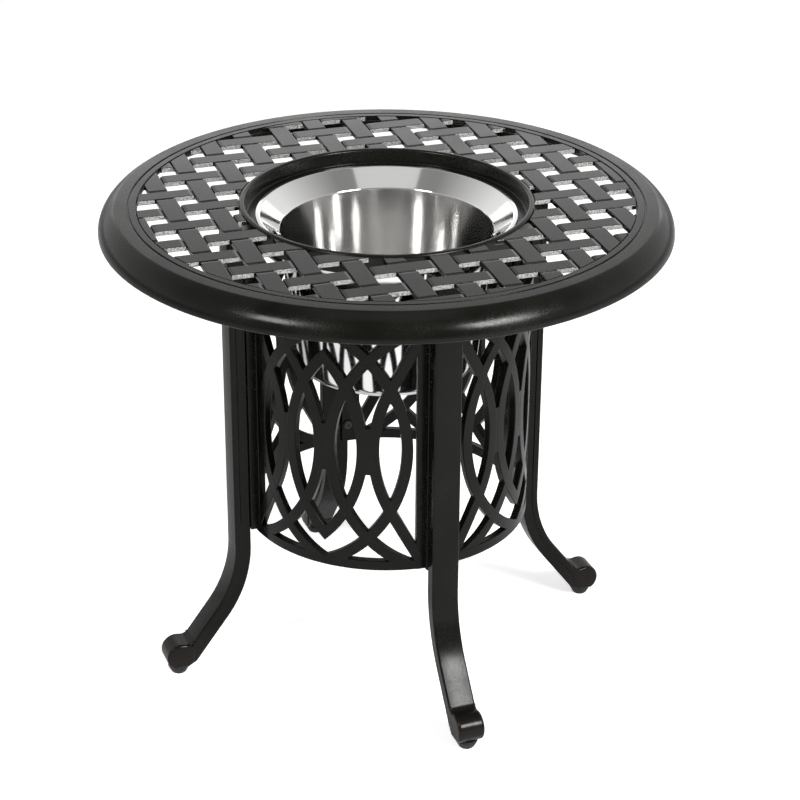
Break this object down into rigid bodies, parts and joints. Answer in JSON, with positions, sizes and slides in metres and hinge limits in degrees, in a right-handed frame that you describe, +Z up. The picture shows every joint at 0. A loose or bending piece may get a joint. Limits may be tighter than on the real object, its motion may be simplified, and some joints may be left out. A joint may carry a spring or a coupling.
{
  "type": "ice bucket coffee table",
  "caption": "Round cast metal patio table with an open basket-weave top, a lift-out steel ice bucket in the middle, curved lattice panels and flared legs on screw-in glides.",
  "frame": {"origin": "on the floor under the middle of the top", "axes": "+Z up; the four legs stand on the +X, -X, +Y and -Y axes"},
  "size_m": [0.61, 0.61, 0.5356],
  "materials": {
    "cast_top": "satin black powder coat, with the narrow cut walls of the weave left pale",
    "cast_frame": "satin black powder coat, lightly grained",
    "polished_steel": "polished stainless steel",
    "dark_fastener": "black-coated steel",
    "zinc_stud": "zinc-plated thread",
    "glide_plastic": "matt black plastic"
  },
  "bodies": {
    "table": {"tabletop": "cast_top", "leg_1": "cast_frame", "leg_2": "cast_frame", "leg_3": "cast_frame", "leg_4": "cast_frame", "lattice_panel_1": "cast_frame", "lattice_panel_2": "cast_frame", "lattice_panel_3": "cast_frame", "lattice_panel_4": "cast_frame", "top_bolt_1_low": "dark_fastener", "top_bolt_1_high": "dark_fastener", "top_bolt_2_low": "dark_fastener", "top_bolt_2_high": "dark_fastener", "top_bolt_3_low": "dark_fastener", "top_bolt_3_high": "dark_fastener", "top_bolt_4_low": "dark_fastener", "top_bolt_4_high": "dark_fastener", "panel_screw_1_low_left": "dark_fastener", "panel_screw_1_low_right": "dark_fastener", "panel_screw_1_high_left": "dark_fastener", "panel_screw_1_high_right": "dark_fastener", "panel_screw_2_low_left": "dark_fastener", "panel_screw_2_low_right": "dark_fastener", "panel_screw_2_high_left": "dark_fastener", "panel_screw_2_high_right": "dark_fastener", "panel_screw_3_low_left": "dark_fastener", "panel_screw_3_low_right": "dark_fastener", "panel_screw_3_high_left": "dark_fastener", "panel_screw_3_high_right": "dark_fastener", "panel_screw_4_low_left": "dark_fastener", "panel_screw_4_low_right": "dark_fastener", "panel_screw_4_high_left": "dark_fastener", "panel_screw_4_high_right": "dark_fastener"},
    "bucket": {"ice_bucket": "polished_steel"},
    "foot_1": {"glide_1": "glide_plastic", "glide_stud_1": "zinc_stud"},
    "foot_2": {"glide_2": "glide_plastic", "glide_stud_2": "zinc_stud"},
    "foot_3": {"glide_3": "glide_plastic", "glide_stud_3": "zinc_stud"},
    "foot_4": {"glide_4": "glide_plastic", "glide_stud_4": "zinc_stud"}
  },
  "joints": [
    {"name": "bucket_lift", "type": "slide", "parent": "table", "child": "bucket", "axis": [0, 0, 1], "range_m": [0, 0.2]},
    {"name": "glide_1_screw", "type": "slide", "parent": "table", "child": "foot_1", "axis": [0, 0, -1], "range_m": [0, 0.008]},
    {"name": "glide_2_screw", "type": "slide", "parent": "table", "child": "foot_2", "axis": [0, 0, -1], "range_m": [0, 0.008]},
    {"name": "glide_3_screw", "type": "slide", "parent": "table", "child": "foot_3", "axis": [0, 0, -1], "range_m": [0, 0.008]},
    {"name": "glide_4_screw", "type": "slide", "parent": "table", "child": "foot_4", "axis": [0, 0, -1], "range_m": [0, 0.008]}
  ]
}
